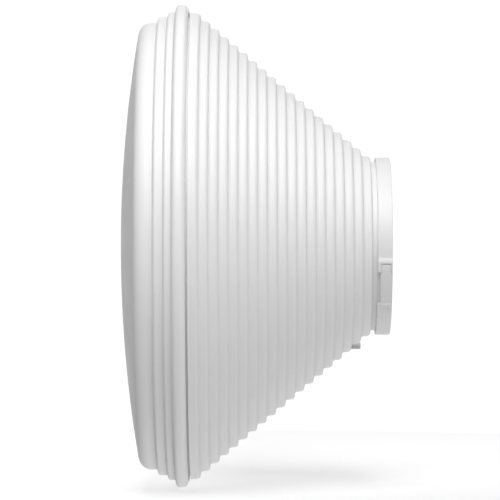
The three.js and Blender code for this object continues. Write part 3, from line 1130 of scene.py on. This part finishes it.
def latch_coil():
    """Torsion spring: close turns of wire round the pin, between the two knuckles."""
    rear = LEVER_REAR + KNUCKLE_LENGTH + GAP
    front = LEVER_FRONT - KNUCKLE_LENGTH - GAP
    length = front - rear - 2 * WIRE_R
    turns = length / COIL_PITCH
    coil_r = PIN_R + GAP / 2 + WIRE_R
    steps = round(turns * COIL_STEPS)
    centre = on_circle(PIN_CIRCLE_R, PIN_ANGLE, 0)
    curve = bpy.data.curves.new("latch_coil", "CURVE")
    curve.dimensions = "3D"
    curve.bevel_depth = WIRE_R * MM
    curve.bevel_resolution = 3
    curve.use_fill_caps = True
    spline = curve.splines.new("POLY")
    spline.points.add(steps)
    for i, point in enumerate(spline.points):
        turn = math.tau * turns * i / steps
        forward = rear + WIRE_R + length * i / steps
        offset = Vector((coil_r * math.cos(turn), -forward, coil_r * math.sin(turn))) * MM
        point.co = (*(centre + offset), 1)
    wire = in_scene("latch_coil_curve", curve)
    data = evaluated_mesh(wire)
    bpy.data.objects.remove(wire)
    data.shade_smooth()
    return in_scene("latch_coil", data)


# ---- waveguide insert and what is on it ----


def screw_angles():
    return [SCREW_FIRST_ANGLE + i * 360 / SCREW_COUNT for i in range(SCREW_COUNT)]


def countersink(angle):
    """Tool for a screw's hole, with a small chamfer at the flange's face."""
    head_r, shank_r = SCREW_HEAD_R + SCREW_PLAY, SCREW_R + SCREW_PLAY
    chamfer_from, chamfer_to = 0.05, 0.2
    profile = [
        (0, SEAT_REAR - OVERLAP),
        (SCREW_HEAD_R + GAP, SEAT_REAR - OVERLAP),
        (SCREW_HEAD_R + GAP, SEAT_REAR + chamfer_from),
        (head_r, SEAT_REAR + chamfer_to),
        (head_r, SCREW_HEAD_REAR + CONE_SHIFT),
        (shank_r, SCREW_CONE_END + CONE_SHIFT),
        (shank_r, WEB_REAR + OVERLAP),
        (0, WEB_REAR + OVERLAP),
    ]
    return moved(spun("countersink", profile, SMALL_SEGMENTS), SCREW_CIRCLE_R, angle)


def insert_profile():
    """Flange with a recess and the O-ring's groove in its face, hub and waveguide tube."""
    groove_in_r = PORT_SEAL_R - PORT_SEAL_SECTION_R - GAP
    groove_out_r = PORT_SEAL_R + PORT_SEAL_SECTION_R + GAP
    recess = SEAT_REAR + RECESS_DEPTH
    seat_front = WEB_REAR - GAP
    return [
        (BORE_R, SEAT_REAR, 0.4),
        (BORE_R + BORE_RIM, SEAT_REAR, 0.1),
        (BORE_R + BORE_RIM, recess, 0),
        (groove_in_r - RECESS_BEVEL, recess, 0.1),
        (groove_in_r, recess + RECESS_BEVEL_DEPTH, 0.1),
        (groove_in_r, PORT_SEAL_FLOOR, 0.15),
        (groove_out_r, PORT_SEAL_FLOOR, 0.15),
        (groove_out_r, SEAT_REAR, 0.15),
        (SEAT_R, SEAT_REAR, 0.35),
        (SEAT_R, seat_front, 0.3),
        (HUB_R, seat_front, 0.2),
        (HUB_R, HUB_FRONT, 0.3),
        (TUBE_R, HUB_FRONT, 0.2),
        (TUBE_R, THROAT_MOUTH, 0.3),
        (BORE_R, THROAT_MOUTH, 0.5),
    ]


def insert_key(angle):
    """Key in front of the flange, outside the neck's tube and behind its shoulder."""
    in_r, out_r = NECK_TUBE_R + GAP, SEAT_R - KEY_INSET
    corners = [
        (in_r, WEB_REAR - OVERLAP, 0),
        (out_r, WEB_REAR - OVERLAP, 0),
        (out_r, SHOULDER_REAR - GAP, 0.2),
        (in_r, SHOULDER_REAR - GAP, 0.2),
    ]
    section = rounded(corners)
    start = angle - KEY_WIDTH / 2
    stations = [(start + KEY_WIDTH * i / KEY_STEPS, section) for i in range(KEY_STEPS + 1)]
    return swept("key", stations)


def turned_insert():
    insert = spun("turned_insert", supported(rounded(insert_profile())), PORT_SEGMENTS)
    for angle in KEY_ANGLES:
        combined(insert, insert_key(angle), "UNION")
    for angle in screw_angles():
        combined(insert, countersink(angle), "DIFFERENCE")
    for angle in INDEX_PIN_ANGLES:
        hole = bar(
            "pin_hole",
            INDEX_PIN_R + INDEX_PIN_PLAY,
            SEAT_REAR - OVERLAP,
            INDEX_PIN_FRONT + GAP,
            segments=HOLE_SEGMENTS,
        )
        combined(insert, moved(hole, INDEX_PIN_CIRCLE_R, angle), "DIFFERENCE")
    return insert


def screw(name, angle):
    """Countersunk screw with a hexagon socket and a threaded shank."""
    chamfer, chamfer_depth, rim = 0.15, 0.08, 0.2
    profile = [
        (0, SCREW_HEAD_REAR),
        (SCREW_HEAD_R - chamfer, SCREW_HEAD_REAR),
        (SCREW_HEAD_R, SCREW_HEAD_REAR + chamfer_depth),
        (SCREW_HEAD_R, SCREW_HEAD_REAR + rim),
        (SCREW_R, SCREW_CONE_END + CONE_SHIFT),
    ]
    thread_end = SCREW_TIP - SCREW_PLAIN_END
    threads = int((thread_end - SCREW_CONE_END - SCREW_PLAIN_END) / THREAD_PITCH)
    for i in range(threads):
        start = SCREW_CONE_END + SCREW_PLAIN_END + i * THREAD_PITCH
        profile += [(SCREW_R, start), (SCREW_R - THREAD_DEPTH, start + THREAD_PITCH / 2)]
    profile += [(SCREW_R, thread_end), (SCREW_R - SCREW_PLAIN_END, SCREW_TIP), (0, SCREW_TIP)]
    body = spun(name, profile, SMALL_SEGMENTS)
    socket_rear, socket_floor = SCREW_HEAD_REAR - OVERLAP / 2, SCREW_HEAD_REAR + SOCKET_DEPTH
    socket_profile = [
        (0, socket_rear),
        (SOCKET_R, socket_rear),
        (SOCKET_R, socket_floor),
        (0, socket_floor + SOCKET_POINT),
    ]
    socket = spun("socket", socket_profile, HEXAGON)
    # Each screw has stopped at its own angle.
    socket.data.transform(Matrix.Rotation(math.radians(SOCKET_TURN * angle), 4, "Y"))
    combined(body, socket, "DIFFERENCE")
    return moved(body, SCREW_CIRCLE_R, angle)


def index_pin(name, angle):
    """Pin with a rounded rear end."""
    rounding = INDEX_PIN_ROUND
    round_r, round_s = INDEX_PIN_R - rounding, INDEX_PIN_REAR + rounding
    end = arc_points(round_r, round_s, rounding, -90, 0, INDEX_PIN_ROUND_STEPS)
    profile = [(0, INDEX_PIN_REAR), *end, (INDEX_PIN_R, INDEX_PIN_FRONT), (0, INDEX_PIN_FRONT)]
    return moved(spun(name, profile, SMALL_SEGMENTS), INDEX_PIN_CIRCLE_R, angle)


def port_o_ring():
    centre = PORT_SEAL_FLOOR - GAP - PORT_SEAL_SECTION_R
    section = arc_points(PORT_SEAL_R, centre, PORT_SEAL_SECTION_R, 0, 360, PORT_SEAL_STEPS)[:-1]
    return spun("port_o_ring", section, PORT_SEGMENTS)


# ---- vent plug ----


def vent_cap():
    """Plug with a skirt over its seal, a coin slot across its head and a shank in the boss."""
    shank_top = ring_radius(VENT_RING + 1) + VENT_SHANK_SPACE
    head_top = VENT_HEAD_FACE - VENT_HEAD_THICKNESS
    skirt_end = VENT_BOSS_FACE + VENT_SKIRT_GAP
    corners = [
        (0, shank_top, 0),
        (VENT_SHANK_R, shank_top, 0.3),
        (VENT_SHANK_R, head_top, 0.1),
        (VENT_SKIRT_IN_R, head_top, 0),
        (VENT_SKIRT_IN_R, skirt_end, 0),
        (VENT_HEAD_R, skirt_end, 0.06),
        (VENT_HEAD_R, VENT_HEAD_FACE, 0.45),
        (0, VENT_HEAD_FACE, 0),
    ]
    cap = spun("vent_cap", rounded(corners), VENT_SEGMENTS)
    slot_corners = (
        (-VENT_SLOT_WIDTH / 2, VENT_HEAD_FACE - VENT_SLOT_DEPTH),
        (VENT_SLOT_WIDTH / 2, VENT_HEAD_FACE + OVERLAP),
    )
    slot = box_tool("slot", slot_corners, VENT_HEAD_R - VENT_SLOT_MARGIN)
    return hung(combined(cap, slot, "DIFFERENCE"))


def vent_washer():
    top = VENT_BOSS_FACE + GAP
    washer = band(
        "vent_washer",
        VENT_SHANK_R + GAP,
        VENT_SKIRT_IN_R - GAP,
        top,
        top + VENT_SEAL_THICKNESS,
        VENT_SEAL_ROUND,
        SMALL_SEGMENTS,
    )
    return hung(washer)


# ---- assembly ----

install(horn_casting(), "horn_coating", "horn", "horn_body")
install(vent_boss(), "horn_coating", "horn")
install(radome_cover(), "radome_plastic", "horn", "radome")
rim_gasket = band(
    "rim_gasket",
    GASKET_R - GASKET_WIDTH,
    GASKET_R,
    GASKET_REAR,
    GASKET_FRONT,
    GASKET_ROUND,
    ROUND_SEGMENTS,
)
install(rim_gasket, "seal_silicone", "horn", "radome_gasket")
install(turned_insert(), "insert_aluminium", "horn", "waveguide_insert")
hub_gasket = band(
    "hub_gasket",
    TUBE_R + HUB_SEAL_MARGIN,
    HUB_R - HUB_SEAL_MARGIN,
    rear_of("insert_seal"),
    front_of("insert_seal"),
    HUB_SEAL_ROUND,
    PORT_SEGMENTS,
)
install(hub_gasket, "seal_silicone", "horn", "insert_seal")
install(port_o_ring(), "seal_silicone", "horn", "port_seal")
for number, angle in enumerate(screw_angles(), 1):
    install(screw(f"screw_{number}", angle), "steel", "horn", f"insert_screw_{number}")
for number, angle in enumerate(INDEX_PIN_ANGLES, 1):
    install(index_pin(f"dowel_{number}", angle), "steel", "horn", f"index_pin_{number}")
install(vent_cap(), "vent_plastic", "horn", "vent_plug")
install(vent_washer(), "seal_silicone", "horn", "vent_seal")
install(lock_collar(), "ring_plastic", "lock_ring", "lock_ring")
install(latch_plate(), "latch_plastic", "latch", "latch_lever")
hinge_pin = bar("hinge_pin", PIN_R, PIN_INSET, COLLAR_FRONT - PIN_INSET, PIN_CHAMFER)
install(at_hinge(hinge_pin), "steel", "lock_ring", "latch_pin")
install(latch_coil(), "steel", "lock_ring", "latch_spring")


# ---- stage ----


def stage_floor(height):
    """Round pale floor under the rim, which glows a little so that it meets the white backdrop. The
    glow is painted light: it is stronger on the -X side than on the +X side, and stronger towards
    the radome than towards the port, which lightens the floor's shadow there.

    It takes shadows but sends no light back, because studio_world() has the light from below.
    """
    middle_x, middle_y, radius = -0.15, -0.085, 0.5
    glow_back, glow_front = 0.6, 0.36
    fade_from, fade_to = -0.1, 0.15
    lift_at_radome, lift_at_port = 0.1, -0.04
    lift_from, lift_to = -0.08, 0.0
    mesh = bmesh.new()
    bmesh.ops.create_circle(mesh, cap_ends=True, radius=radius, segments=96)
    floor = finished("stage_floor", mesh)
    floor.location = (middle_x, middle_y, height)
    material, shader = new_material("stage_floor", (0.6, 0.6, 0.6), roughness=0.9)
    shader.inputs["Specular IOR Level"].default_value = 0
    shader.inputs["Emission Color"].default_value = (1, 1, 1, 1)
    separate = add_node(material, "ShaderNodeSeparateXYZ")
    link(material, place(material), separate.inputs["Vector"])
    across, along = separate.outputs["X"], separate.outputs["Y"]
    # Painted light: the glow fades from the -X side to the +X side, and the lift adds to it towards
    # the radome and takes from it towards the port.
    glow = spread(material, across, glow_back, glow_front, fade_from - middle_x, fade_to - middle_x)
    lift = spread(material, along, lift_at_radome, lift_at_port, lift_from, lift_to)
    glow = math_node(material, "ADD", glow, lift)
    link(material, glow, shader.inputs["Emission Strength"])
    floor.data.materials.append(material)
    floor.visible_diffuse = False
    floor.visible_glossy = False
    floor.visible_shadow = False


LIGHT_SIZE = 1.0
LIGHTS = (
    # name, place and power
    ("key", (0.93, -0.085, 1.99), 16.6),
    ("fill", (1.69, -0.085, 1.41), 21.5),
    ("side", (0.84, -1.54, 1.41), 6.8),
)


def area_light(name, place_at, power, target):
    """Round soft light that faces the target."""
    data = bpy.data.lights.new(name, "AREA")
    data.shape = "DISK"
    data.size = LIGHT_SIZE
    data.energy = power
    light = in_scene(name, data)
    light.location = place_at
    light.rotation_euler = (Vector(target) - Vector(place_at)).to_track_quat("-Z", "Y").to_euler()


SOFT_LIGHT = 0.115
LOBES = (
    # axis of the light's direction, two values along it, and the extra strength at each
    ("X", -0.97, -0.85, 0.92, 0),
    ("Y", 0.2, 0.9, 0, 0.455),
    ("Z", 0.2, 0.9, 0, 0.11),
    ("Z", -1, -0.3, 0.94, 0),
)


def studio_world():
    """Soft grey light from all round, stronger from the backdrop, the rear end, above and below."""
    world = bpy.data.worlds.new("studio")
    world.use_nodes = True
    bpy.context.scene.world = world
    nodes, links = world.node_tree.nodes, world.node_tree.links
    coords = nodes.new("ShaderNodeTexCoord")
    separate = nodes.new("ShaderNodeSeparateXYZ")
    links.new(coords.outputs["Generated"], separate.inputs["Vector"])
    background = nodes["Background"]
    background.inputs["Color"].default_value = (1, 1, 1, 1)
    total = None
    for axis, start, end, start_strength, end_strength in LOBES:
        lobe = nodes.new("ShaderNodeMapRange")
        lobe.inputs["From Min"].default_value = start
        lobe.inputs["From Max"].default_value = end
        lobe.inputs["To Min"].default_value = start_strength
        lobe.inputs["To Max"].default_value = end_strength
        links.new(separate.outputs[axis], lobe.inputs["Value"])
        add = nodes.new("ShaderNodeMath")
        add.inputs[0].default_value = SOFT_LIGHT
        if total:
            links.new(total, add.inputs[0])
        links.new(lobe.outputs["Result"], add.inputs[1])
        total = add.outputs["Value"]
    links.new(total, background.inputs["Strength"])


def side_camera(centre):
    """Level camera on the +X side, far enough off to flatten the perspective."""
    distance = 2.09
    framed_width = 0.3168
    shift_y, shift_z = -0.00345, -0.0024
    camera_data = bpy.data.cameras.new("camera")
    camera_data.sensor_width = 36
    camera_data.lens = camera_data.sensor_width * distance / framed_width
    camera = in_scene("camera", camera_data)
    camera.location = (distance, centre.y + shift_y, centre.z + shift_z)
    camera.rotation_euler = (math.radians(90), 0, math.radians(90))
    bpy.context.scene.camera = camera


low, high = (Vector(corner) for corner in cad_bounds)
middle = (low + high) / 2
stage_floor(low.z)
for light in LIGHTS:
    area_light(*light, middle)
studio_world()
side_camera(middle)
bpy.context.scene.view_settings.view_transform = "Standard"
